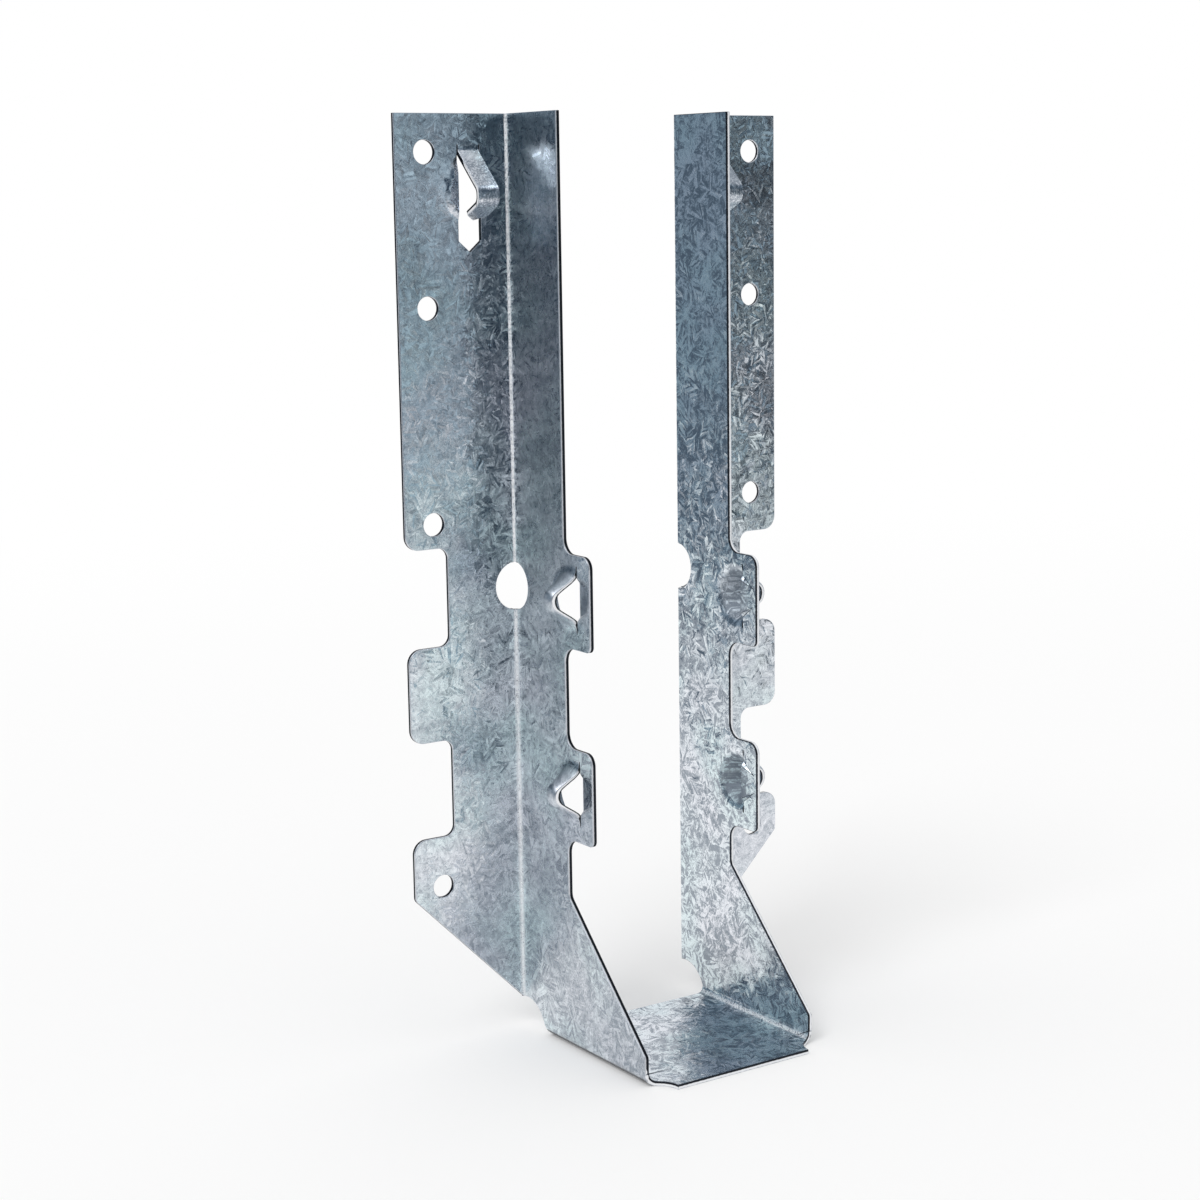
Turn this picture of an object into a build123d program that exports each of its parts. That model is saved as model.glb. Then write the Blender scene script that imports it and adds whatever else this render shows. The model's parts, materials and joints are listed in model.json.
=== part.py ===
from build123d import *
import math
import os

# Joist hanger folded from one blank of steel sheet, in millimetres.
# X runs across the joist, Y from the joist side to the header side, Z up.
# While it is modelled, Y = 0 is the header face and Z = 0 the underside of the seat.

# Overall sizes
SHEET = 1.0
JOIST_GAP = 39.7
OVERALL_WIDTH = 92.0
HEIGHT = 187.5
SEAT_REACH = 49.5
FOLD_R = 0.5
BEND_R = 1.6

# Side plates, seen from the side
PLATE_REACH = 18.8
TAB_REACH = 27.9
TAB_HEIGHT = 18.8
TAB_PITCH = 39.1
TAB_Z = 92.8
SIDE_STEP = 3.6
TAB_HOLLOW_R = 3.0
TAB_TOP_R = 2.4
TAB_FOOT_R = 1.2
SLOPE_Z = 32.1

# Flanges, seen from the front
NOTCH_DEPTH = 9.5
NOTCH_HEIGHT = 19.9
NOTCH_HOLLOW_R = 2.2
NOTCH_CORNER_R = 2.9
CHAMFER_Z = 31.4

# Round holes and reliefs. Nail holes are set in from the flange's outer edge. The upper
# pair of rows hangs from the top edge and the lower pair stands on the seat.
NAIL_R = 2.35
NAIL_INSET = 6.5
NAIL_DROPS = (7.4, 37.4)
NAIL_HEIGHTS = (107.6, 33.5)
FOLD_HOLE_R = 4.9
FOLD_HOLE_Z = 93.5
BACK_RELIEF_R = 6.5
BACK_RELIEF_Y = -2.6
TOE_RELIEF_R = 4.6

# Sprung prong in each flange. Drops are measured down from the head of its slot.
SLOT_INSET = 16.4
SLOT_DROP = 6.0
SLOT_WIDTH = 5.1
SLOT_LENGTH = 18.6
SLOT_TAPER = 2.2
PRONG_WIDTH = 4.7
PRONG_ROOT = 1.7
HINGE_DROP = 1.3
KNUCKLE_REACH = 8.1
KNUCKLE_DROP = 8.7
KNUCKLE_LENGTH = 2.5
TIP_REACH = 2.0
TIP_DROP = 14.2
PRONG_BEND_R = 1.8
SWELL_R = 6.2
SWELL_RISE = 1.0
SWELL_DROP = 9.0

# Domed nail guides in the side plate tabs
SLIT_Y = -23.5
SLIT_WIDTH = 0.3
SLIT_LENGTH = 13.2
DOME_UP = 0.7
DOME_BACK = 2.4
DOME_R = 5.2
DOME_RISE = 5.6
DOME_CROWN_R = 1.8
DOME_ROUND = 2.2
DOME_FOOT_R = 2.8
MOUTH_LEAN = 8.0
RAMP_DEPTH = 0.7
RAMP_LENGTH = 3.5
RAMP_HALF = 4.4
RAMP_TOE_HALF = 1.9
RAMP_DRAFT = 45.0

# Side of the blocks that cut or keep part of the sheet, larger than any piece of it they meet
BLOCK = 60.0

HALF_GAP = JOIST_GAP / 2
HALF_OUTER = HALF_GAP + SHEET
HALF_WIDTH = OVERALL_WIDTH / 2
FOLD_X = HALF_OUTER + FOLD_R
FOLD_Y = -(SHEET + FOLD_R)
BEND_Z = SHEET + BEND_R
SEAT_BACK = BACK_RELIEF_Y - BACK_RELIEF_R
TOE_REACH = SEAT_REACH - TOE_RELIEF_R
NEUTRAL = math.pi / 4 * (FOLD_R + SHEET / 2)
NAIL_X = HALF_WIDTH - NAIL_INSET
NAIL_Z = [HEIGHT - drop for drop in NAIL_DROPS] + list(NAIL_HEIGHTS)
SLOT_X = HALF_WIDTH - SLOT_INSET
SLOT_TOP = HEIGHT - SLOT_DROP


def outline(corners):
    """Face through corners given as (x, y, radius), each corner turned into a tangent arc."""
    count = len(corners)
    starts = []
    ends = []
    arcs = []
    for i, (x, y, r) in enumerate(corners):
        here = Vector(x, y)
        if r == 0:
            starts.append(here)
            ends.append(here)
            continue
        back = (Vector(*corners[i - 1][:2]) - here).normalized()
        ahead = (Vector(*corners[(i + 1) % count][:2]) - here).normalized()
        half = math.acos(max(-1.0, min(1.0, back.dot(ahead)))) / 2
        reach = r / math.tan(half)
        middle = (back + ahead).normalized() * (r / math.sin(half) - r)
        starts.append(here + back * reach)
        ends.append(here + ahead * reach)
        arcs.append(ThreePointArc(starts[-1], here + middle, ends[-1]))
    edges = list(arcs)
    for i in range(count):
        a = ends[i]
        b = starts[(i + 1) % count]
        if (b - a).length > 1e-6:
            edges.append(Line(a, b))
    return make_face(edges)


def side_profile(tab_z):
    """Side plate in (y, z), open below so that the seat and its bends stay whole."""
    corners = [(1, HEIGHT, 0), (-PLATE_REACH, HEIGHT, 0)]
    for middle in (tab_z, tab_z - TAB_PITCH):
        top = middle + TAB_HEIGHT / 2
        foot = middle - TAB_HEIGHT / 2
        corners.append((-PLATE_REACH, top, TAB_HOLLOW_R))
        corners.append((-TAB_REACH, top, TAB_TOP_R))
        corners.append((-TAB_REACH, foot, TAB_FOOT_R))
        corners.append((-PLATE_REACH, foot, TAB_HOLLOW_R))
    toe_z = SLOPE_Z - (TOE_REACH - PLATE_REACH)
    corners.append((-PLATE_REACH, SLOPE_Z, 2))
    corners.append((-TOE_REACH, toe_z, 1))
    corners.append((-TOE_REACH, BEND_Z, 0))
    corners.append((-SEAT_REACH - 1, BEND_Z, 0))
    corners.append((-SEAT_REACH - 1, -1, 0))
    corners.append((1, -1, 0))
    return outline(corners)


def flange_profile(tab_z):
    """Flange outline in (x, z) of the right-hand side, measured out from the middle."""
    inner = HALF_WIDTH - NOTCH_DEPTH
    corners = [(0, HEIGHT, 0), (HALF_WIDTH, HEIGHT, 0)]
    for middle in (tab_z, tab_z - TAB_PITCH):
        top = middle + NOTCH_HEIGHT / 2
        foot = middle - NOTCH_HEIGHT / 2
        corners.append((HALF_WIDTH, top, NOTCH_CORNER_R))
        corners.append((inner, top, NOTCH_HOLLOW_R))
        corners.append((inner, foot, NOTCH_HOLLOW_R))
        corners.append((HALF_WIDTH, foot, NOTCH_CORNER_R))
    corners.append((HALF_WIDTH, CHAMFER_Z, 1.5))
    corners.append((HALF_OUTER, CHAMFER_Z - (HALF_WIDTH - HALF_OUTER), 0))
    corners.append((HALF_OUTER, -1, 0))
    corners.append((0, -1, 0))
    return outline(corners)


def folded_leg():
    """Right-hand plate and flange with the fold between them, before any cut."""
    plate_end = -SEAT_REACH
    section = outline([
        (HALF_GAP, plate_end, 0),
        (HALF_OUTER, plate_end, 0),
        (HALF_OUTER, -SHEET, FOLD_R),
        (HALF_WIDTH, -SHEET, 0),
        (HALF_WIDTH, 0, 0),
        (HALF_GAP, 0, FOLD_R + SHEET),
    ])
    return Pos(0, 0, BEND_Z) * extrude(section, HEIGHT - BEND_Z)


def seat_channel():
    """Seat and both bends up to where the plates become flat."""
    section = outline([
        (-HALF_OUTER, 0, BEND_R + SHEET),
        (HALF_OUTER, 0, BEND_R + SHEET),
        (HALF_OUTER, BEND_Z, 0),
        (HALF_GAP, BEND_Z, 0),
        (HALF_GAP, SHEET, BEND_R),
        (-HALF_GAP, SHEET, BEND_R),
        (-HALF_GAP, BEND_Z, 0),
        (-HALF_OUTER, BEND_Z, 0),
    ])
    channel = extrude(Plane.XZ * section, SEAT_REACH)
    for side in (-1, 1):
        toe = Pos(side * HALF_OUTER, -SEAT_REACH, 0) * Cylinder(TOE_RELIEF_R, BLOCK / 3)
        channel -= toe
    return channel


def dome(middle):
    """Outer form of one dome and the same form one sheet further in, on the right-hand plate."""
    centre_y = SLIT_Y + DOME_BACK
    half_profile = [
        (0, -SHEET / 2, 0),
        (0, DOME_RISE, 0),
        (DOME_CROWN_R, DOME_RISE, DOME_ROUND),
        (DOME_R, 0, DOME_FOOT_R),
        (DOME_R + 1, 0, 0),
        (DOME_R + 1, -SHEET / 2, 0),
    ]
    bell = revolve(outline(half_profile), Axis.Y)
    bell = Pos(HALF_OUTER, centre_y, middle) * Rot(0, 0, -90) * bell
    mouth = Pos(HALF_OUTER, SLIT_Y, middle) * Rot(0, 0, MOUTH_LEAN)
    outer = bell & (mouth * Pos(0, BLOCK / 2, 0) * Box(BLOCK, BLOCK, BLOCK))
    behind = Pos(HALF_OUTER, SLIT_Y + BLOCK / 2, middle) * Box(BLOCK, BLOCK, BLOCK)
    inner = (Pos(-SHEET, 0, 0) * bell) & behind
    return outer, inner


def ramp(middle):
    """Shallow hollow in front of the mouth, pressed towards the joist, with a straight lip."""
    lip = Vector(HALF_OUTER, SLIT_Y, middle)
    toe = lip - Vector(0, RAMP_LENGTH, 0)
    facets = [(toe, Vector(RAMP_LENGTH, RAMP_DEPTH, 0).normalized())]
    draft = math.radians(RAMP_DRAFT)
    narrowing = RAMP_HALF - RAMP_TOE_HALF
    for side in (-1, 1):
        inwards = Vector(0, narrowing, -side * RAMP_LENGTH).normalized()
        leaning = inwards * math.cos(draft) + Vector(1, 0, 0) * math.sin(draft)
        facets.append((lip + Vector(0, 0, side * RAMP_HALF), leaning))
    window = Pos(HALF_OUTER, SLIT_Y - RAMP_LENGTH / 2, middle) * Box(8, RAMP_LENGTH, 4 * RAMP_HALF)
    hollow = window
    for corner, normal in facets:
        hollow &= extrude(Plane(corner, z_dir=normal) * Rectangle(BLOCK, BLOCK), BLOCK)
    behind = Pos(HALF_OUTER - SHEET / 2 - 4, SLIT_Y, middle) * Box(8, 4 * RAMP_LENGTH, 8 * RAMP_HALF)
    return hollow, (Pos(-SHEET, 0, 0) * hollow) & behind


def prong():
    """Right-hand prong: a strip bent forward out of its slot and back to a point."""
    root = Vector(SLOT_X, -SHEET / 2, SLOT_TOP + PRONG_ROOT)
    hinge = Vector(SLOT_X, -SHEET / 2, SLOT_TOP - HINGE_DROP)
    knuckle = Vector(SLOT_X, -KNUCKLE_REACH, SLOT_TOP - KNUCKLE_DROP)
    turn = knuckle - Vector(0, 0, KNUCKLE_LENGTH)
    tip = Vector(SLOT_X, -TIP_REACH, SLOT_TOP - TIP_DROP)
    path = FilletPolyline(root, hinge, knuckle, turn, tip, radius=PRONG_BEND_R)
    section = Plane(root, x_dir=(1, 0, 0), z_dir=(0, 0, -1)) * Rectangle(PRONG_WIDTH, SHEET)
    strip = sweep(section, path=path)
    along = (tip - turn).normalized()
    flat = Plane(tip, x_dir=(1, 0, 0), z_dir=Vector(1, 0, 0).cross(along))
    for side in (-1, 1):
        edge = side * PRONG_WIDTH
        corner = Polyline((0, 0), (edge, 0), (edge, -2 * SLOT_TAPER), (0, 0))
        strip -= extrude(flat * make_face(corner), 5 * SHEET, both=True)
    return strip


def slot():
    """Cutter for the slot that the prong is sheared from, pointed at the foot."""
    half = SLOT_WIDTH / 2
    shoulder = SLOT_TOP - SLOT_LENGTH
    face = outline([
        (SLOT_X - half, SLOT_TOP, 0),
        (SLOT_X + half, SLOT_TOP, 0),
        (SLOT_X + half, shoulder, 0),
        (SLOT_X, shoulder - SLOT_TAPER, 0),
        (SLOT_X - half, shoulder, 0),
    ])
    return extrude(Plane.XZ * face, 10, both=True)


def leg(tab_z):
    """One complete right-hand leg with every hole, tab, dome and its prong."""
    body = folded_leg()
    body &= extrude(Plane.YZ * side_profile(tab_z), BLOCK)
    body &= extrude(Plane.XZ * flange_profile(tab_z), BLOCK, both=True)

    ball_r = (SWELL_R ** 2 + SWELL_RISE ** 2) / (2 * SWELL_RISE)
    swell_z = SLOT_TOP - SWELL_DROP
    ball = Pos(SLOT_X, ball_r - SHEET - SWELL_RISE, swell_z) * Sphere(ball_r)
    front = Pos(SLOT_X, -SHEET, swell_z) * Box(4 * SWELL_R, SHEET, 4 * SWELL_R)
    body += ball & front
    body -= Pos(0, SHEET, 0) * (ball & front)
    body -= slot()
    body += prong()

    for z in NAIL_Z:
        body -= Pos(NAIL_X, 0, z) * Rot(90, 0, 0) * Cylinder(NAIL_R, 10)
    fold = -2 * FOLD_Y
    on_flange = Pos(FOLD_X - NEUTRAL, FOLD_Y + fold / 2, FOLD_HOLE_Z)
    on_plate = Pos(FOLD_X - fold / 2, FOLD_Y + NEUTRAL, FOLD_HOLE_Z)
    body -= on_flange * Rot(90, 0, 0) * Cylinder(FOLD_HOLE_R, fold)
    body -= on_plate * Rot(0, 90, 0) * Cylinder(FOLD_HOLE_R, fold)

    for middle in (tab_z + DOME_UP, tab_z + DOME_UP - TAB_PITCH):
        outer, inner = dome(middle)
        hollow, backed = ramp(middle)
        body += outer
        body -= inner
        body += backed
        body -= hollow
        body -= Pos(HALF_OUTER - SHEET / 2, SLIT_Y, middle) * Box(4 * SHEET, SLIT_WIDTH, SLIT_LENGTH)
    return body


right = leg(TAB_Z - SIDE_STEP)
left = mirror(leg(TAB_Z), about=Plane.YZ)
hanger = seat_channel() + right + left
hanger -= Pos(0, BACK_RELIEF_Y, 0) * Rot(0, 90, 0) * Cylinder(BACK_RELIEF_R, 2 * HALF_OUTER + 8)
hanger -= Pos(0, SEAT_BACK + 10, 0) * Box(2 * HALF_OUTER + 2, 20, 2 * SHEET)

# The origin is the middle of the base of the part's own box.
hanger = Pos(0, SEAT_REACH / 2, 0) * hanger

os.makedirs("parts", exist_ok=True)
export_step(hanger, "parts/joist_hanger.step")
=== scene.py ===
"""Joist hanger folded from galvanised sheet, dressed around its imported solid, with its stage."""

import json
import math

import bpy
from bpy.props import FloatProperty, FloatVectorProperty, PointerProperty
from mathutils import Matrix, Vector

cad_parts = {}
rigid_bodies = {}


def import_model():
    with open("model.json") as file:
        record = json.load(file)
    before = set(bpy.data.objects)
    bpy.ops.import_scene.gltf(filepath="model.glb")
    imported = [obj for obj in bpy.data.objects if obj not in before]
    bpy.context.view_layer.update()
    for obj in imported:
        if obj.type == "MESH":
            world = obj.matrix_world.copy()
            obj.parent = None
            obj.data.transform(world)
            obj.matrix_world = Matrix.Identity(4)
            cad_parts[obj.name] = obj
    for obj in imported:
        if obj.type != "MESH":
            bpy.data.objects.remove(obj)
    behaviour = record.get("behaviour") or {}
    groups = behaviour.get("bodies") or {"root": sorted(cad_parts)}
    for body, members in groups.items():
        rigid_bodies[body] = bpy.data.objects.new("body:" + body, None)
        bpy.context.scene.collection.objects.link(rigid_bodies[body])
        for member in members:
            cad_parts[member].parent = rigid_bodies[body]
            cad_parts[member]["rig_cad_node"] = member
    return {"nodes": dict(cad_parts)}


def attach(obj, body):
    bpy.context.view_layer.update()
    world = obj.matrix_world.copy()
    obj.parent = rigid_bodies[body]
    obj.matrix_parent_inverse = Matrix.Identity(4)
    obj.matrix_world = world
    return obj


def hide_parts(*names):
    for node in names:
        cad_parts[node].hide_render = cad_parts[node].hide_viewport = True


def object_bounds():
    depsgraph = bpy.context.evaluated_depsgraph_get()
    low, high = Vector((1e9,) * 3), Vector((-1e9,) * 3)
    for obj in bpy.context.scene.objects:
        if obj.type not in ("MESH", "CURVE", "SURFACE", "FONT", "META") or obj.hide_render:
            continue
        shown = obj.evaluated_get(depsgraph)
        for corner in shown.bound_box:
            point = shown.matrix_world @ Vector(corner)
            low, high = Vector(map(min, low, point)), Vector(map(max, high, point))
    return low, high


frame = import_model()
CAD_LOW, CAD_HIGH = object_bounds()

bl_info = {
    "name": "Joist hanger",
    "version": (1, 0, 0),
    "blender": (4, 5, 0),
    "location": "View3D > Sidebar > Hanger",
    "description": "Galvanised joist hanger and the studio that it stands in",
    "category": "Object",
}

NODE = "joist_hanger"

MM = 0.001

# The sheet's gauge, the line about which each flange is folded from its side plate, and the line
# about which each side plate is bent up from the seat, each with its inside radius
SHEET = 1.0 * MM
FOLD_R = 0.5 * MM
FOLD_X = 21.35 * MM
FOLD_Y = CAD_HIGH.y - SHEET - FOLD_R
PLATE_X = FOLD_X - FOLD_R - 0.5 * SHEET
BEND_R = 1.6 * MM
BEND_X = 18.25 * MM
BEND_Z = SHEET + BEND_R

# The slits in front of the domes
SLIT_Y = 1.25 * MM
SLIT_REACH = 0.4 * MM   # how far from there a slit's own edges lie
LIP_REACH = 1.4 * MM    # how far from there the edges of a dome's lip lie
SLIT_ARRIS = 0.6        # width of a slit's arrises, as a share of the others'

# Corners closer together than this are one corner
SAME_PLACE = 0.001 * MM

# Angles between two faces past which the edge between them counts as sharp
SKIN_ANGLE = math.radians(50)    # it parts two skins of the sheet
LIP_ANGLE = math.radians(30)     # it does so at a dome's lip
ARRIS_ANGLE = math.radians(35)   # it gets an arris
SHADE_ANGLE = math.radians(40)   # it stays sharp when the sheet is shaded

# Places of the materials on the piece
ZINC, SHEARED, ARRIS, PUNCHED = range(4)

# Areas between which a wall across the gauge is that of a hole, slit or slot: the sheet's outline
# has smaller walls at its reliefs and larger ones elsewhere
PUNCHED_WALLS = (10.0 * MM * MM, 26.0 * MM * MM)

# How deep into the gauge the cut is burnished before it tears, on the outline and in the holes
SHEARED_DEPTH = 0.32
PUNCHED_DEPTH = 0.10

# Attributes: depth through the sheet from its outer side, 0, to its joist side, 1, and the place
# on the flat blank, where the joist side's zinc lies this far from the outer side's
GAUGE = "gauge_depth"
BLANK = "blank_place"
BLANK_SHIFT = 400 * MM

# Near-white of zinc pulled thin, or pressed until it shines; also the colour of the painted
# highlights in the folds, the seat's bends and the right leg's and seat's edges
BRIGHT_AND_HIGHLIGHT = (0.97, 0.98, 1.0)

# The painted shade at the foot and along the arrises' joist side is this many times as bright as the
# torn steel's colour
PAINTED_SHADE_LEVEL = 2.5


class HangerSheetSettings(bpy.types.PropertyGroup):
    """Sizes and colours of the galvanised sheet."""

    arris: FloatProperty(
        name="Arris width",
        description="Width of the rounded arris along the sheared edges",
        default=0.11 * MM, min=0.0, unit="LENGTH",
    )
    zinc: FloatVectorProperty(
        name="Zinc",
        description="Colour of the brightest crystals of the zinc",
        default=(0.93, 0.95, 1.0), size=3, min=0.0, max=1.0, subtype="COLOR",
    )
    zinc_deep: FloatVectorProperty(
        name="Deep zinc",
        description="Colour of the darkest crystals",
        default=(0.33, 0.37, 0.42), size=3, min=0.0, max=1.0, subtype="COLOR",
    )
    steel: FloatVectorProperty(
        name="Steel",
        description="Colour of the burnished band on the sheared edges",
        default=(0.74, 0.76, 0.80), size=3, min=0.0, max=1.0, subtype="COLOR",
    )
    # Near black: the torn steel darkened further by painted shade. The rolled rim, and the painted
    # shade at the foot and on the arrises, are made from it too.
    fracture_and_shade: FloatVectorProperty(
        name="Fracture",
        description="Colour of the torn band on the sheared edges",
        default=(0.022, 0.025, 0.032), size=3, min=0.0, max=1.0, subtype="COLOR",
    )
    spangle: FloatProperty(
        name="Spangle size",
        description="Size of one large grain of zinc, whose crystals branch from one point",
        default=9.0 * MM, min=0.1 * MM, unit="LENGTH",
    )
    small_spangle: FloatProperty(
        name="Small spangle size",
        description="Size of one small grain of zinc",
        default=3.4 * MM, min=0.1 * MM, unit="LENGTH",
    )
    needle_length: FloatProperty(
        name="Crystal length",
        description="Length of one crystal in a large grain",
        default=3.2 * MM, min=0.01 * MM, unit="LENGTH",
    )
    needle_width: FloatProperty(
        name="Crystal width",
        description="Width of one crystal in a large grain",
        default=0.55 * MM, min=0.01 * MM, unit="LENGTH",
    )
    facet: FloatProperty(
        name="Facet tilt",
        description="How far the crystals' facets lean from the sheet's own surface",
        default=0.24, min=0.0, max=1.0,
    )
    roughness: FloatProperty(
        name="Roughness",
        description="Mean roughness of the zinc",
        default=0.23, min=0.0, max=1.0,
    )


class HangerStageSettings(bpy.types.PropertyGroup):
    """Camera, floor and light."""

    camera_place: FloatVectorProperty(
        name="Camera place",
        description="Where the camera stands",
        default=(-0.26817, -0.37555, 0.17130), size=3, subtype="TRANSLATION", unit="LENGTH",
    )
    camera_heading: FloatProperty(
        name="Heading",
        description="Turn of the camera from +Y towards +X",
        default=0.59100, subtype="ANGLE", unit="ROTATION",
    )
    camera_dip: FloatProperty(
        name="Dip",
        description="How far the camera looks down",
        default=0.17102, subtype="ANGLE", unit="ROTATION",
    )
    camera_roll: FloatProperty(
        name="Roll",
        description="Turn of the camera about its own line of sight",
        default=-0.01511, subtype="ANGLE", unit="ROTATION",
    )
    camera_lens: FloatProperty(
        name="Lens",
        description="Focal length on a sensor 36 mm wide",
        default=70.22, min=1.0,
    )
    floor_colour: FloatVectorProperty(
        name="Floor",
        description="Colour of the floor",
        default=(0.80, 0.80, 0.80), size=3, min=0.0, max=1.0, subtype="COLOR",
    )
    floor_lift: FloatProperty(
        name="Floor lift",
        description="White added to the floor where the camera or a reflection sees it",
        default=0.16, min=0.0, max=1.0,
    )
    table_reach: FloatProperty(
        name="Table reach",
        description="How far the pale table reaches in the metal's reflections",
        default=0.54, min=0.1, unit="LENGTH",
    )
    fill: FloatProperty(
        name="Fill",
        description="Level of the even light from all round",
        default=0.80, min=0.0, max=2.0,
    )
    room: FloatVectorProperty(
        name="Room",
        description="Colour of the room beyond the table, as the metal reflects it",
        default=(0.18, 0.24, 0.30), size=3, min=0.0, max=1.0, subtype="COLOR",
    )
    key: FloatProperty(
        name="Key light",
        description="Strength of the soft light from the upper left",
        default=0.9, min=0.0,
    )


class Value:
    """One output of a node. Arithmetic on it adds Math nodes to the same tree."""

    def __init__(self, socket):
        self.socket = socket

    def node(self, kind, inputs=(), output=0, **settings):
        """Adds a node of any kind, sets it up, and gives one of its outputs."""
        tree = self.socket.id_data
        made = tree.nodes.new(kind)
        for name, setting in settings.items():
            setattr(made, name, setting)
        for key, value in dict(inputs).items():
            if isinstance(value, Value):
                tree.links.new(value.socket, made.inputs[key])
            else:
                made.inputs[key].default_value = value
        return Value(made.outputs[output])

    def twin(self, output):
        """Another output of the same node."""
        return Value(self.socket.node.outputs[output])

    def math(self, operation, *values):
        """Result of a Math node that takes this value and others."""
        return self.node("ShaderNodeMath", enumerate((self, *values)), operation=operation)

    def __add__(self, other):
        return self.math("ADD", other)

    __radd__ = __add__

    def __sub__(self, other):
        return self.math("SUBTRACT", other)

    def __rsub__(self, other):
        return (self * -1.0) + other

    def __mul__(self, other):
        return self.math("MULTIPLY", other)

    __rmul__ = __mul__

    def __truediv__(self, other):
        return self.math("DIVIDE", other)

    def __pow__(self, other):
        return self.math("POWER", other)

    def __abs__(self):
        return self.math("ABSOLUTE")

    def __or__(self, other):
        """The larger of two values: where either mask holds."""
        return self.math("MAXIMUM", other)

    def vector(self, operation, *values, output=0):
        """Result of a Vector Math node that takes this value and others."""
        inputs = enumerate((self, *values))
        return self.node("ShaderNodeVectorMath", inputs, output=output, operation=operation)

    def scaled(self, factor):
        """This vector, made longer by a factor."""
        return self.node("ShaderNodeVectorMath", {0: self, "Scale": factor}, operation="SCALE")

    def split(self):
        """The three parts of a vector or a colour."""
        first = self.node("ShaderNodeSeparateXYZ", {0: self})
        return [first.twin(i) for i in range(3)]

    def step(self, low, high):
        """0 below low and 1 above high, or the other way round where low is the larger."""
        inputs = {"Value": self, "From Min": low, "From Max": high}
        return self.node("ShaderNodeMapRange", inputs, interpolation_type="SMOOTHSTEP")

    def between(self, zero, one):
        """Number that goes from zero to one as this value does."""
        return zero + (one - zero) * self

    def mix(self, zero, one):
        """Colour that goes from zero to one as this value does."""
        colours = [c if isinstance(c, Value) else (*c, 1.0) for c in (zero, one)]

        # The Mix node's sockets 6 and 7 and its output 2 are those of its colours
        inputs = {0: self, 6: colours[0], 7: colours[1]}
        return self.node("ShaderNodeMix", inputs, output=2, data_type="RGBA")

    def noise(self, size, detail=2.0, output="Fac"):
        """Noise whose lumps are about this size in metres, read at this place."""
        inputs = {"Vector": self, "Scale": 1.0 / size, "Detail": detail}
        return self.node("ShaderNodeTexNoise", inputs, output=output)

    def cells(self):
        """Chance of the flat cell at this place, as a colour. Cells are about 1 across."""
        inputs = {"Vector": self, "Scale": 1.0}
        return self.node("ShaderNodeTexVoronoi", inputs, output="Color", voronoi_dimensions="2D")


def new_material(name):
    """An empty node material, its surface shader's node, and the place on the piece."""
    material = bpy.data.materials.new(name)
    material.use_nodes = True
    shader = material.node_tree.nodes["Principled BSDF"]
    place = Value(shader.outputs[0]).node("ShaderNodeTexCoord", output="Object")
    return material, shader, place


def feed(node, **values):
    """Links values into a node's sockets, or sets them there."""
    for name, value in values.items():
        socket = node.inputs[name.replace("_", " ")]
        if isinstance(value, Value):
            node.id_data.links.new(value.socket, socket)
        else:
            socket.default_value = value


def painted_shade(sheet):
    """Colour of the painted shade at the foot and along the arrises' joist side."""
    return [PAINTED_SHADE_LEVEL * part for part in sheet.fracture_and_shade]


def gauge_depth(place):
    """Depth through the sheet at a place: 0 on its outer side, 1 on its joist side."""
    return place.node("ShaderNodeAttribute", output="Fac", attribute_name=GAUGE)


def from_fold(x, y):
    """Distance from the line about which the nearer flange is folded."""
    return ((abs(x) - FOLD_X) ** 2.0 + (y - FOLD_Y) ** 2.0).math("SQRT")


# Where the pressed parts begin, and where they are reached in full
OFF_PLANE = (0.2 * MM, 0.7 * MM)                         # distance from the plate's plane
BEFORE_FOLD_Y = (FOLD_Y - 1.0 * MM, FOLD_Y - 2.0 * MM)   # in front of the fold
DOME_Z = (8.0 * MM, 10.0 * MM)                           # above the seat's bends
PRONG_Z = (120.0 * MM, 130.0 * MM)                       # from the domes up to the prongs


def pressed_out(place, depth):
    """1 on the domes and ramps, and 1 on the prongs, where the sheet was pressed out of its plane."""
    x, y, z = place.split()
    off_plane = abs(abs(x) - (PLATE_X + 0.5 * SHEET) + SHEET * depth).step(*OFF_PLANE)
    off_plane = off_plane * y.step(*BEFORE_FOLD_Y)
    at_prong = z.step(*PRONG_Z)
    return off_plane * z.step(*DOME_Z) * (1.0 - at_prong), off_plane * at_prong


# Each grain has six arms. The crystals' pattern is read this far apart, so that it never repeats
SECTOR = math.pi / 3
ARM_PUSH = 7.3      # from one arm to the next
SIDE_PUSH = 3.1     # on either side of an arm
GRAIN_PUSH = 29.0   # in one grain and the other


def ferns(place, grain, length, width):
    """Chances of the grain and of the crystal at a place. Crystals branch from six arms."""
    inside = place.scaled(1.0 / grain)
    chance = inside.cells()
    x, y, _ = inside.vector("SUBTRACT", chance.twin("Position")).split()
    spin, row, _ = chance.split()

    turn = y.math("ARCTAN2", x) + math.tau * spin
    arm = (turn / SECTOR).math("ROUND")
    turn = turn - SECTOR * arm
    reach = (x * x + y * y).math("SQRT")
    along = reach * turn.math("COSINE")
    across = reach * turn.math("SINE")
    side = across.math("SIGN")
    across = across * side
    branch = (along - across / math.tan(SECTOR)) * (grain / width) + ARM_PUSH * arm + SIDE_PUSH * side
    run = across * (grain / length) + GRAIN_PUSH * row
    return chance, branch.node("ShaderNodeCombineXYZ", {"X": branch, "Y": run}).cells()


# The grains' borders wander
WANDER = 0.5 * MM
WANDER_SIZE = 1.6 * MM

# Size of a small grain's crystals for their grain, as a share of a large grain's for theirs
SPLINTER_LENGTH = 1.2
SPLINTER_WIDTH = 1.4


def wandering_blank(place):
    """Place on the flat blank, moved a little to and fro."""
    blank = place.node("ShaderNodeAttribute", output="Vector", attribute_name=BLANK)
    wander = blank.noise(WANDER_SIZE, 1.0, "Color").vector("SUBTRACT", (0.5, 0.5, 0.5))
    return blank.vector("ADD", wander.scaled(WANDER))


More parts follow.
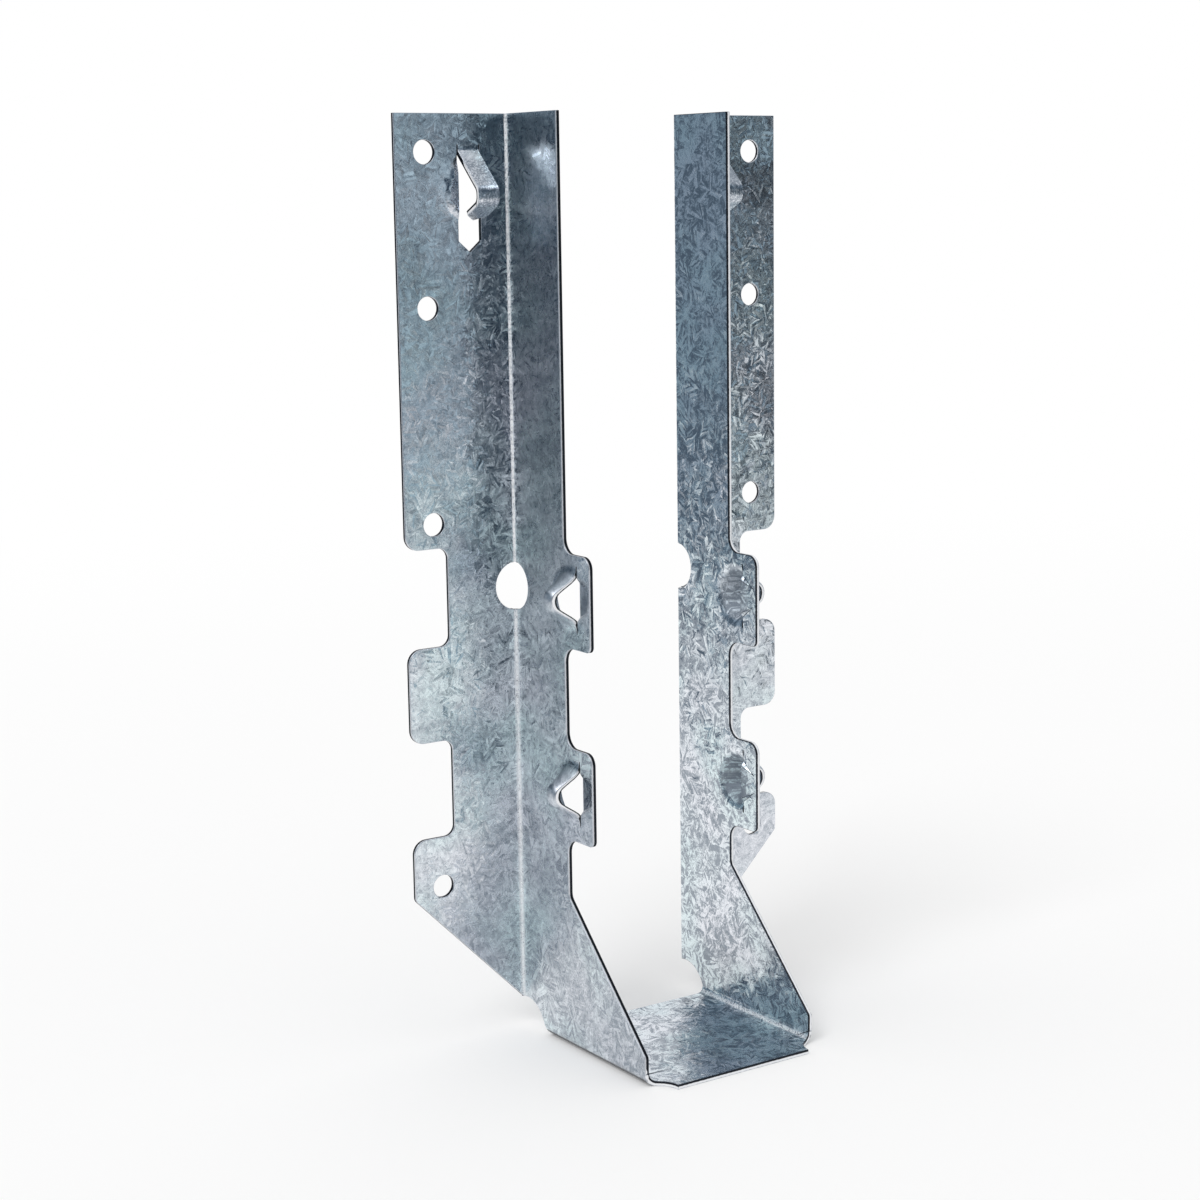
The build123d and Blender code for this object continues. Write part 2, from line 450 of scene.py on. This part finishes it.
def zinc_grains(sheet, blank):
    """Chances of the large grain, of its crystal, and of the small grain's crystal at a place."""
    grain, needle = ferns(blank, sheet.spangle, sheet.needle_length, sheet.needle_width)
    share = sheet.small_spangle / sheet.spangle
    length = SPLINTER_LENGTH * share * sheet.needle_length
    width = SPLINTER_WIDTH * share * sheet.needle_width
    _, splinter = ferns(blank, sheet.small_spangle, length, width)
    return grain, needle, splinter


# Where the ferns of crystals begin to show, and where they show in full
PATCH_SIZE = 30.0 * MM
PATCH_FERNS = (0.20, 0.45)                     # noise of the patches
FOLD_FERNS = (13.0 * MM, 7.0 * MM)             # distance from the fold's line
FLANGE_FERNS_Y = (FOLD_Y - 2.0 * MM, FOLD_Y)
LOW_FERNS_Z = (100.0 * MM, 80.0 * MM)
RIGHT_FERNS_X = (20.0 * MM, 22.0 * MM)


def ferns_show(place, depth, patch):
    """1 beside the folds, low down, on the joist side and on the right flange, but in patches."""
    x, y, z = place.split()
    beside_fold = from_fold(x, y).step(*FOLD_FERNS) * y.step(*FLANGE_FERNS_Y)
    low = z.step(*LOW_FERNS_Z)
    right = x.step(*RIGHT_FERNS_X)
    return (beside_fold | low | depth | right) * patch.step(*PATCH_FERNS)


# How far the facets lean, as shares of the sheet's facet tilt
CUBE_LEAN = 4.0           # for the cube of a crystal's chance, counted from its middle
GRAIN_LEAN = 0.3          # of that, for a large grain
SPLINTER_LEAN = 0.7       # of that, for a small grain's crystal
FERN_LEAN = (0.42, 1.0)   # where the ferns don't show, and where they do
DOME_LEAN = 0.20          # in the domes
BACK_LEAN = 0.65          # on the flanges' backs


def facet_lean(sheet, grains, feathery, domed, at_back):
    """Lean of the facet from the sheet's surface: slight on most crystals, strong on a few."""
    leans = []
    for chance, share in zip(grains, (GRAIN_LEAN, 1.0, SPLINTER_LEAN)):
        side = chance.vector("SUBTRACT", (0.5, 0.5, 0.5))
        cube = side.vector("MULTIPLY", side).vector("MULTIPLY", side)
        leans.append(cube.scaled(CUBE_LEAN * share * sheet.facet))
    lean = leans[0].vector("ADD", leans[1]).vector("ADD", leans[2])
    show = feathery.between(*FERN_LEAN) * domed.between(1.0, DOME_LEAN)
    return lean.scaled(show * at_back.between(1.0, BACK_LEAN))


# Where each region of the zinc begins, and where it is reached in full
LOW_Z = (100.0 * MM, 70.0 * MM)
FLANGE_Y = (FOLD_Y, FOLD_Y + SHEET)
PLATE_Y = (FOLD_Y - 0.5 * MM, FOLD_Y - 1.5 * MM)
RIGHT_X = (21.0 * MM, 22.0 * MM)
TAB_FRONT_Y = (3.0 * MM, 0.0)
SEAT_Z = (3.5 * MM, 2.0 * MM)
FOOT_Z = (1.55 * MM, 1.15 * MM)

# The zinc's tone goes from 0, its deep colour, to 1, its bright one. These are its mean and how
# much each thing sways it, the crystals first where the ferns don't show, then where they do.
MEAN_TONE = 0.60
NEEDLE_TONE = (0.16, 0.78)     # crystals of the large grains
SPLINTER_TONE = (0.42, 0.44)   # crystals of the small grains
GRAIN_TONE = 0.25
FLECK_TONE = 0.8
BLOTCH_TONE = 1.1
PATCH_TONE = 0.3

# How strongly the crystals, flecks and blotches show
OUTER_CONTRAST = 0.85   # on the outer side
JOIST_CONTRAST = 1.75   # on the joist side
BACK_CONTRAST = 1.00    # on the flanges' backs
DOME_CONTRAST = 0.80    # in the domes, as a share of the rest of that side

# Painted light and shade: what the tone gains or loses by where the surface lies and which way it
# faces
JOIST_SHADE = -0.08         # on the joist side
PLATE_SHADE = -0.21         # on the plates' outer sides
HOLLOW_SHADE = -0.42        # in the domes' hollows
RIGHT_SHADE = -0.06         # on the right flange's front
TAB_LIGHT_AND_SHADE = (0.27, -0.05)   # on the front part of the tabs, high up and low down
LOW_FLANGE_LIGHT = 0.11     # on the flanges' fronts, low down

# Contrast and mean of the prongs' grit and of the seat's clouds
PRONG_TONE = (2.6, -0.10)
SEAT_TONE = (2.2, 0.10)

# Sizes of the noises
FLECK_SIZE = 0.35 * MM
BLOTCH_SIZE = 1.7 * MM
CLOUD_SIZE = 3.2 * MM
TINT_SIZE = 18.0 * MM

# The bright zinc's other tint, and the noise between which one tint gives way to the other
TINT = (0.91, 1.01, 0.98)
TINT_NOISE = (0.35, 0.65)


def painted_light_and_shade(place, depth, domed):
    """Painted light and shade: what the zinc's tone gains or loses by where it lies on the sheet."""
    x, y, z = place.split()
    outer = 1.0 - depth
    low = z.step(*LOW_Z)
    tone = JOIST_SHADE * depth + HOLLOW_SHADE * domed * depth
    tone = tone + PLATE_SHADE * outer * y.step(*PLATE_Y)
    tone = tone + RIGHT_SHADE * outer * x.step(*RIGHT_X)
    tone = tone + low.between(*TAB_LIGHT_AND_SHADE) * outer * y.step(*TAB_FRONT_Y)
    return tone + LOW_FLANGE_LIGHT * low * outer * y.step(*FLANGE_Y)


# The pale line inside a fold: zinc pulled thin, with a painted highlight. The first three have a
# value for high up and one for low down.
FOLD_LINE_START = (0.70 * FOLD_R, 0.14 * FOLD_R)         # how deep in the fold it begins
FOLD_LINE_FULL = (0.84 * FOLD_R, 0.49 * FOLD_R)          # how deep in the fold it is full
FOLD_LINE_LEVEL = (1.0, 0.55)                            # how plain it is
FOLD_LINE_END = (FOLD_R + 0.3 * MM, FOLD_R + 0.2 * MM)   # where it ends, from the fold's line
FOLD_LINE_NOISE = (0.38, 0.54)                           # flecks between its gaps and its grains
FOLD_LINE_GRAIN = (0.42, 1.0)                            # how plain its gaps and grains are

# The painted highlight inside a bend of the seat
BEND_LINE = (0.93 * BEND_R, 0.99 * BEND_R)
BEND_LINE_Z = (4.0 * MM, 3.0 * MM)
BEND_LINE_Y = (FOLD_Y, FOLD_Y - 1.0 * MM)
BEND_LINE_NOISE = (0.40, 0.58)
BEND_LINE_GRAIN = (0.22, 0.62)


def pale_lines_and_highlights(place, depth, fleck):
    """Pale grainy line inside each fold, zinc pulled thin with a painted highlight, and a painted
    highlight inside the seat's bends.
    """
    x, y, z = place.split()
    low = z.step(*LOW_Z)
    diagonal = math.sqrt(0.5)
    into_fold = (y - FOLD_Y - abs(x) + FOLD_X) * diagonal
    fold = into_fold.step(low.between(*FOLD_LINE_START), low.between(*FOLD_LINE_FULL))
    fold = fold * from_fold(x, y).step(*FOLD_LINE_END) * low.between(*FOLD_LINE_LEVEL)
    fold = fold * fleck.step(*FOLD_LINE_NOISE).between(*FOLD_LINE_GRAIN)

    into_bend = (abs(x) - z + (BEND_Z - BEND_X)) * diagonal
    bend = into_bend.step(*BEND_LINE) * z.step(*BEND_LINE_Z) * depth * y.step(*BEND_LINE_Y)
    return fold | bend * fleck.step(*BEND_LINE_NOISE).between(*BEND_LINE_GRAIN)


# How much each thing sways or raises the zinc's roughness
NEEDLE_ROUGH = 0.14
FLECK_ROUGH = 0.12
STRETCHED_ROUGH = 0.30
PLATE_ROUGH = 0.07          # on the plates' outer sides
DOME_ROUGH = (0.12, 0.48)   # in the domes, on the outer and on the joist side

# How metallic the zinc looks, plain and stretched
ZINC_METAL = (1.0, 0.2)

# Strength and height of the flecks' relief
FLECK_BUMP = 0.25
FLECK_HEIGHT = 0.02 * MM


def galvanised_zinc(sheet):
    """Zinc skin: grains whose crystals branch like ferns, each facet leaning its own way."""
    material, shader, place = new_material("galvanised_zinc")
    _, y, z = place.split()
    depth = gauge_depth(place)
    outer = 1.0 - depth
    domed, prong = pressed_out(place, depth)
    at_back = depth * y.step(*FLANGE_Y)
    patch = place.noise(PATCH_SIZE, 1.0)
    feathery = ferns_show(place, depth, patch)

    blank = wandering_blank(place)
    grains = zinc_grains(sheet, blank)
    grain, needle, splinter = grains
    normal = place.node("ShaderNodeNewGeometry", output="Normal")
    lean = facet_lean(sheet, grains, feathery, domed, at_back)
    facet = normal.vector("ADD", lean).vector("NORMALIZE")

    fleck = place.noise(FLECK_SIZE)
    speck = fleck - 0.5
    shade = needle.split()[0] - 0.5
    small_shade = splinter.split()[1] - 0.5
    crystals = feathery.between(*NEEDLE_TONE) * shade
    crystals = crystals + feathery.between(*SPLINTER_TONE) * small_shade
    crystals = crystals + GRAIN_TONE * (grain.split()[2] - 0.5)
    crystals = crystals + FLECK_TONE * speck + BLOTCH_TONE * (blank.noise(BLOTCH_SIZE) - 0.5)
    contrast = depth.between(OUTER_CONTRAST, JOIST_CONTRAST)
    contrast = contrast + (BACK_CONTRAST - JOIST_CONTRAST) * at_back
    tone = MEAN_TONE + crystals * contrast * domed.between(1.0, DOME_CONTRAST)
    # Painted shade on the joist side, in the hollows, on the plates and on the right flange; painted
    # light on the tabs' fronts and the low flanges
    tone = tone + PATCH_TONE * (patch - 0.5) + painted_light_and_shade(place, depth, domed)

    grit, mean = PRONG_TONE
    tone = tone + prong * (grit * speck + mean)
    clouds, mean = SEAT_TONE
    cloudy = clouds * (place.noise(CLOUD_SIZE, 3.0) - 0.5) + mean
    tone = tone + cloudy * z.step(*SEAT_Z) * depth

    tinted = [part * tint for part, tint in zip(sheet.zinc, TINT)]
    pale = place.noise(TINT_SIZE).step(*TINT_NOISE).mix(sheet.zinc, tinted)
    # Pale fold lines with a painted highlight, and painted highlights in the seat's bends
    lines = pale_lines_and_highlights(place, depth, fleck)
    colour = lines.mix(tone.mix(sheet.zinc_deep, pale), BRIGHT_AND_HIGHLIGHT)

    # Painted contact shade darkens the foot of the outer side, where it meets the floor
    colour = (z.step(*FOOT_Z) * outer).mix(colour, painted_shade(sheet))

    rough = sheet.roughness + NEEDLE_ROUGH * shade + FLECK_ROUGH * speck + STRETCHED_ROUGH * lines
    rough = rough + depth.between(*DOME_ROUGH) * domed + PLATE_ROUGH * outer * y.step(*PLATE_Y)
    relief = {"Strength": FLECK_BUMP, "Distance": FLECK_HEIGHT, "Height": fleck, "Normal": facet}
    feed(shader, Base_Color=colour, Roughness=rough, Metallic=lines.between(*ZINC_METAL),
         Normal=fleck.node("ShaderNodeBump", relief))
    return material


# The sheared edges' grain
DRAWN_SIZE = 0.5 * MM
DRAWN_BUMP = 0.4
DRAWN_HEIGHT = 0.03 * MM
DRAWN_SHIFT = 0.16   # how far it shifts the bands, as a share of the gauge

# Depths between which the rolled rim, near black as painted shade, gives way to the burnished band
RIM_DEPTH = (0.07, 0.15)

# Depths past the tear between which the torn band gives way to the burnished one
TEAR_DEPTH = (0.06, -0.06)

# Painted highlight on the edges of the right leg and of the seat: more of them is drawn pale, and
# brighter
HIGHLIGHT_X = (0.0, 1.0 * MM)
HIGHLIGHT_Z = (4.0 * MM, 3.0 * MM)
HIGHLIGHT_DEPTH = 0.24
HIGHLIGHT_BRIGHT = 0.75

# The edges of the domes and prongs are burnished at least as deep as this
PRESSED_DEPTH = 0.60

# Roughness of the torn and of the burnished band, and how metallic the burnished one looks where
# it is plain and where it is bright
EDGE_ROUGH = (0.55, 0.40)
BURNISH_METAL = (0.55, 0.10)


def sheared_edge(sheet, name, burnish_depth):
    """Sheared edge: rolled over thinly at the outer side, then burnished, then torn; rim and torn
    band near black, partly painted shade.
    """
    material, shader, place = new_material(name)
    x, _, z = place.split()
    depth = gauge_depth(place)
    domed, prong = pressed_out(place, depth)
    pressed = domed | prong
    # Painted highlight on the right leg's and the seat's edges
    highlit = x.step(*HIGHLIGHT_X) | z.step(*HIGHLIGHT_Z)
    bright = pressed | HIGHLIGHT_BRIGHT * highlit

    drawn = place.noise(DRAWN_SIZE, 3.0)
    depth = depth + DRAWN_SHIFT * (drawn - 0.5)
    tear = (burnish_depth + HIGHLIGHT_DEPTH * highlit) | PRESSED_DEPTH * pressed
    burnish = depth.step(*RIM_DEPTH) * (depth - tear).step(*TEAR_DEPTH)
    # Near-black rim and torn band, partly painted shade; the burnished band between is pale, brighter
    # where highlit
    colour = burnish.mix(sheet.fracture_and_shade, bright.mix(sheet.steel, BRIGHT_AND_HIGHLIGHT))
    metallic = burnish.between(1.0, bright.between(*BURNISH_METAL))
    relief = {"Strength": DRAWN_BUMP, "Distance": DRAWN_HEIGHT, "Height": drawn}
    feed(shader, Base_Color=colour, Roughness=burnish.between(*EDGE_ROUGH), Metallic=metallic,
         Normal=drawn.node("ShaderNodeBump", relief))
    return material


# The arris's rubbed spots: their size, and how rough it is between them and on them
RUB_SIZE = 1.6 * MM
RUB_ROUGH = (0.26, 0.46)

# Depths between which the arris's zinc gives way to painted shade along the torn edge
RUB_DEPTH = (0.4, 0.6)


def worn_arris(sheet):
    """Rounded arris: rubbed bright along the outer side, in painted shade along the joist side's
    tear.
    """
    material, shader, place = new_material("worn_arris")
    rub = place.noise(RUB_SIZE, 3.0)
    colour = rub.mix(sheet.zinc_deep, sheet.zinc)
    # Painted shade along the joist side's tear
    colour = gauge_depth(place).step(*RUB_DEPTH).mix(colour, painted_shade(sheet))
    feed(shader, Base_Color=colour, Roughness=rub.between(*RUB_ROUGH), Metallic=1.0)
    return material


def smooth_patches(mesh):
    """Number of the patch that each face is in. Sharp edges part two patches.

    At the lips of the domes' mouths, where the cut meets the dome at a blunt angle, an edge
    counts as sharp from a smaller angle on.
    """
    patch = list(range(len(mesh.polygons)))

    def root(i):
        while patch[i] != i:
            patch[i] = patch[patch[i]]
            i = patch[i]
        return i

    first = {}
    for polygon in mesh.polygons:
        for edge in polygon.edge_keys:
            other = first.setdefault(edge, polygon)
            ends = [mesh.vertices[i].co for i in edge]
            at_lip = all(abs(end.y - SLIT_Y) < LIP_REACH and end.z > BEND_Z for end in ends)
            sharp = math.cos(LIP_ANGLE if at_lip else SKIN_ANGLE)
            if other is not polygon and other.normal.dot(polygon.normal) > sharp:
                patch[root(polygon.index)] = root(other.index)
    return [root(i) for i in range(len(patch))]


def part_skins(mesh):
    """Give the faces across the gauge their own materials, and store how deep their corners lie."""
    patch = smooth_patches(mesh)
    area = {}
    for polygon in mesh.polygons:
        area[patch[polygon.index]] = area.get(patch[polygon.index], 0.0) + polygon.area
    outer, inner = sorted(area, key=area.get)[-2:]
    seat = max(mesh.polygons, key=lambda p: p.normal.z * p.area)
    if patch[seat.index] == outer:
        outer, inner = inner, outer

    smallest, largest = PUNCHED_WALLS
    skin = {wall: PUNCHED if smallest < area[wall] < largest else SHEARED for wall in area}
    skin[outer] = skin[inner] = ZINC
    side = {}
    for polygon in mesh.polygons:
        polygon.material_index = skin[patch[polygon.index]]
        if patch[polygon.index] in (outer, inner):
            for vertex in polygon.vertices:
                side[vertex] = float(patch[polygon.index] == inner)
    gauge = mesh.attributes.new(GAUGE, "FLOAT", "CORNER")
    for loop in mesh.loops:
        gauge.data[loop.index].value = side.get(loop.vertex_index, 0.5)


def weigh_arrises(mesh):
    """Bevel weight 1 on every sharp edge, and less at the slits, which are narrower than two."""
    sharp = math.cos(ARRIS_ANGLE)
    first = {}
    for polygon in mesh.polygons:
        for edge in polygon.edge_keys:
            first.setdefault(edge, []).append(polygon.normal)
    weight = mesh.attributes.new("bevel_weight_edge", "FLOAT", "EDGE")
    for edge in mesh.edges:
        one, other = first[edge.key]
        if one.dot(other) < sharp:
            ends = [mesh.vertices[i].co for i in edge.vertices]
            at_slit = any(abs(end.y - SLIT_Y) < SLIT_REACH for end in ends)
            weight.data[edge.index].value = SLIT_ARRIS if at_slit else 1.0


def round_corner(before, after, radius):
    """Length of the sheet's middle round a square corner, from the place past its two ends."""
    if after <= 0.0:
        return 0.0
    turned = math.atan2(after, -before) if before < 0.0 else math.pi / 2
    return turned * (radius + 0.5 * SHEET)


def lay_flat(mesh):
    """Store where each corner lay on the flat blank, before the plates and flanges were bent."""
    blank = mesh.attributes.new(BLANK, "FLOAT_VECTOR", "CORNER")
    depth = mesh.attributes[GAUGE].data
    for loop in mesh.loops:
        place = mesh.vertices[loop.vertex_index].co
        x = abs(place.x)
        out = min(place.y, FOLD_Y) + round_corner(x - FOLD_X, place.y - FOLD_Y, FOLD_R)
        out += max(x - FOLD_X, 0.0)
        x = min(x, PLATE_X)
        up = min(x, BEND_X) + round_corner(place.z - BEND_Z, x - BEND_X, BEND_R)
        up += max(place.z - BEND_Z, 0.0)
        out += BLANK_SHIFT * round(depth[loop.index].value)
        blank.data[loop.index].vector = (out, math.copysign(up, place.x), 0.0)


def keep_in_box(mesh):
    """Put back the arris corners that the bevel leaves a few microns outside the sheet's box."""
    for vertex in mesh.vertices:
        vertex.co = [min(max(c, low), high) for c, low, high in zip(vertex.co, CAD_LOW, CAD_HIGH)]


class HANGER_OT_folded_sheet(bpy.types.Operator):
    """Dress the folded sheet: soften its sheared edges and give it its zinc"""

    bl_idname = "hanger.folded_sheet"
    bl_label = "Folded sheet"

    def execute(self, context):
        sheet = context.scene.hanger_sheet
        node = frame["nodes"][NODE]
        bpy.ops.object.select_all(action="DESELECT")
        node.select_set(True)
        context.view_layer.objects.active = node
        bpy.ops.object.duplicate()
        piece = context.view_layer.objects.active
        piece.name = "folded_sheet"
        del piece["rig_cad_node"]

        bpy.ops.object.mode_set(mode="EDIT")
        bpy.ops.mesh.select_all(action="SELECT")
        bpy.ops.mesh.customdata_custom_splitnormals_clear()
        bpy.ops.mesh.remove_doubles(threshold=SAME_PLACE)
        bpy.ops.object.mode_set(mode="OBJECT")

        # The materials are added in the order of their places on the piece
        mesh = piece.data
        mesh.materials.clear()
        mesh.materials.append(galvanised_zinc(sheet))
        mesh.materials.append(sheared_edge(sheet, "sheared_edge", SHEARED_DEPTH))
        mesh.materials.append(worn_arris(sheet))
        mesh.materials.append(sheared_edge(sheet, "punched_edge", PUNCHED_DEPTH))
        part_skins(mesh)
        weigh_arrises(mesh)

        arris = piece.modifiers.new("arris", "BEVEL")
        arris.width = sheet.arris
        arris.segments = 3
        arris.limit_method = "WEIGHT"
        arris.use_clamp_overlap = False
        arris.miter_outer = "MITER_ARC"
        arris.material = ARRIS
        bpy.ops.object.modifier_apply(modifier=arris.name)
        keep_in_box(mesh)
        lay_flat(mesh)
        bpy.ops.object.shade_smooth_by_angle(angle=SHADE_ANGLE)
        flat = piece.modifiers.new("flat", "WEIGHTED_NORMAL")
        flat.keep_sharp = True
        bpy.ops.object.modifier_apply(modifier=flat.name)

        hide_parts(NODE)
        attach(piece, "root")
        return {"FINISHED"}


def seen_by(value, *kinds):
    """1 for rays of these kinds and 0 for the others, in the tree of this value."""
    first, *others = ["Is %s Ray" % kind for kind in kinds]
    seen = path = value.node("ShaderNodeLightPath", output=first)
    for ray in others:
        seen = seen | path.twin(ray)
    return seen


def blend(factor, zero, one):
    """Surface that goes from zero to one as the factor does."""
    return factor.node("ShaderNodeMixShader", {0: factor, 1: zero, 2: one})


BLACK = (0.0, 0.0, 0.0)
WHITE = (1.0, 1.0, 1.0)

FLOOR_SIZE = 12.0

# The floor fades to the camera's white this far from the middle of the shadow
SHADOW_PLACE = (0.06, -0.10, 0.0)
SHADOW_EDGE = (0.35, 0.90)

# Where the table ends in reflections, as shares of its reach
TABLE_EDGE = (0.6, 1.5)


def floor_material(stage):
    """White floor that keeps the shadow. In reflections it ends where the table does."""
    material, shader, place = new_material("pale_floor")
    material.cycles.emission_sampling = "NONE"
    lift = seen_by(place, "Camera", "Glossy", "Transmission") * stage.floor_lift
    feed(shader, Base_Color=(*stage.floor_colour, 1.0), Roughness=1.0, Specular_IOR_Level=0.0,
         Emission_Color=lift.mix(BLACK, WHITE), Emission_Strength=1.0)

    away = place.vector("SUBTRACT", SHADOW_PLACE).vector("LENGTH", output="Value")
    far = away.step(*SHADOW_EDGE) * seen_by(place, "Camera")
    edge = [share * stage.table_reach for share in TABLE_EDGE]
    beyond = away.step(*edge) * seen_by(place, "Glossy")
    surface = blend(far, Value(shader.outputs[0]), place.node("ShaderNodeEmission"))
    surface = blend(beyond, surface, place.node("ShaderNodeBsdfTransparent"))
    feed(material.node_tree.nodes["Material Output"], Surface=surface)
    return material


# Headings, from +Y towards +X, of what the metal reflects
BACKDROP_TURN = math.radians(12)     # backdrop, from the camera's own heading
CARD_HEADING = math.radians(163)     # card in front of the object
CORNER_HEADING = math.radians(132)   # shaded corner beside the card
DARK_HEADING = math.radians(-160)    # dark end of the room

# Where each begins and where it is reached in full: the cosine of the angle from its heading, and
# for the light overhead the sine of the angle above the floor
BACKDROP_EDGE = (0.60, 0.88)
CARD_EDGE = (0.956, 0.988)
CORNER_EDGE = (0.950, 0.985)
DARK_EDGE = (0.30, 0.95)
OVERHEAD_EDGE = (0.45, 0.85)

# Their colours, and how much of its colour each gives
BACKDROP_COLOUR = (0.85, 0.86, 0.88)
CARD_COLOUR = (0.62, 0.76, 0.84)
CORNER_COLOUR = (0.06, 0.066, 0.074)
CARD_LEVEL = 0.72
OVERHEAD_LEVEL = 0.75   # of the backdrop's colour
DARK_LEVEL = 0.3        # of the room's colour, at its blue end


def studio_world(stage):
    """Even fill, white to the camera. Metal sees the backdrop, a card, and the room's dark parts."""
    world = bpy.data.worlds.new("studio")
    world.use_nodes = True
    world.cycles.sampling_method = "NONE"
    background = world.node_tree.nodes["Background"]
    way = Value(background.outputs[0]).node("ShaderNodeTexCoord", output="Generated")

    def towards(heading, edge):
        """1 straight towards this heading, 0 past its edge."""
        side = (math.sin(heading), math.cos(heading), 0.0)
        return way.vector("DOT_PRODUCT", side, output="Value").step(*edge)

    dark_room = [DARK_LEVEL * part * part / stage.room[2] for part in stage.room]
    room = towards(DARK_HEADING, DARK_EDGE).mix(tuple(stage.room), dark_room)
    room = towards(CORNER_HEADING, CORNER_EDGE).mix(room, CORNER_COLOUR)
    room = (towards(CARD_HEADING, CARD_EDGE) * CARD_LEVEL).mix(room, CARD_COLOUR)
    backdrop = towards(stage.camera_heading + BACKDROP_TURN, BACKDROP_EDGE)
    overhead = way.split()[2].step(*OVERHEAD_EDGE) * OVERHEAD_LEVEL
    metal_sees = (backdrop | overhead).mix(room, BACKDROP_COLOUR)
    colour = seen_by(way, "Glossy", "Transmission").mix((stage.fill,) * 3, metal_sees)
    feed(background, Color=seen_by(way, "Camera").mix(colour, WHITE))
    return world


# The key light: the way that it shines, and how wide it looks
KEY_WAY = (0.9, 0.35, -1.2)
KEY_WIDTH = math.radians(25)

# Width of the camera's sensor, in millimetres
SENSOR = 36.0


class HANGER_OT_stage(bpy.types.Operator):
    """Set the stage: floor, world, lamp and camera"""

    bl_idname = "hanger.stage"
    bl_label = "Stage"

    def execute(self, context):
        stage = context.scene.hanger_stage
        scene = context.scene
        scene.view_settings.view_transform = "Standard"
        scene.world = studio_world(stage)

        bpy.ops.object.select_all(action="DESELECT")
        bpy.ops.mesh.primitive_plane_add(size=FLOOR_SIZE, location=(0.0, 0.0, CAD_LOW.z))
        floor = context.view_layer.objects.active
        floor.name = "floor"
        floor.data.materials.append(floor_material(stage))

        key = bpy.data.lights.new("key", "SUN")
        key.energy = stage.key
        key.angle = KEY_WIDTH
        lamp = bpy.data.objects.new("key", key)
        scene.collection.objects.link(lamp)
        lamp.rotation_euler = Vector(KEY_WAY).to_track_quat("-Z", "Y").to_euler()

        heading, dip = stage.camera_heading, stage.camera_dip
        ahead = Vector((
            math.sin(heading) * math.cos(dip),
            math.cos(heading) * math.cos(dip),
            -math.sin(dip),
        ))
        right = Vector((math.cos(heading), -math.sin(heading), 0.0))
        right = Matrix.Rotation(-stage.camera_roll, 3, ahead) @ right
        up = right.cross(ahead)
        camera = bpy.data.objects.new("camera", bpy.data.cameras.new("camera"))
        scene.collection.objects.link(camera)
        turned = Matrix((right, up, -ahead)).transposed().to_4x4()
        camera.matrix_world = Matrix.Translation(Vector(stage.camera_place)) @ turned
        camera.data.sensor_width = SENSOR
        camera.data.lens = stage.camera_lens
        scene.camera = camera
        return {"FINISHED"}


class HANGER_PT_panel(bpy.types.Panel):
    """Operators of the hanger and its stage, each with its settings"""

    bl_label = "Joist hanger"
    bl_space_type = "VIEW_3D"
    bl_region_type = "UI"
    bl_category = "Hanger"

    def draw(self, context):
        for operator, settings in (
            (HANGER_OT_folded_sheet, context.scene.hanger_sheet),
            (HANGER_OT_stage, context.scene.hanger_stage),
        ):
            self.layout.operator(operator.bl_idname)
            for name in settings.bl_rna.properties.keys():
                if name not in ("rna_type", "name"):
                    self.layout.prop(settings, name)


CLASSES = (
    HangerSheetSettings,
    HangerStageSettings,
    HANGER_OT_folded_sheet,
    HANGER_OT_stage,
    HANGER_PT_panel,
)


def register():
    for cls in CLASSES:
        bpy.utils.register_class(cls)
    bpy.types.Scene.hanger_sheet = PointerProperty(type=HangerSheetSettings)
    bpy.types.Scene.hanger_stage = PointerProperty(type=HangerStageSettings)


def unregister():
    del bpy.types.Scene.hanger_stage
    del bpy.types.Scene.hanger_sheet
    for cls in reversed(CLASSES):
        bpy.utils.unregister_class(cls)


def main():
    register()
    bpy.ops.hanger.folded_sheet()
    bpy.ops.hanger.stage()


if __name__ == "__main__":
    main()
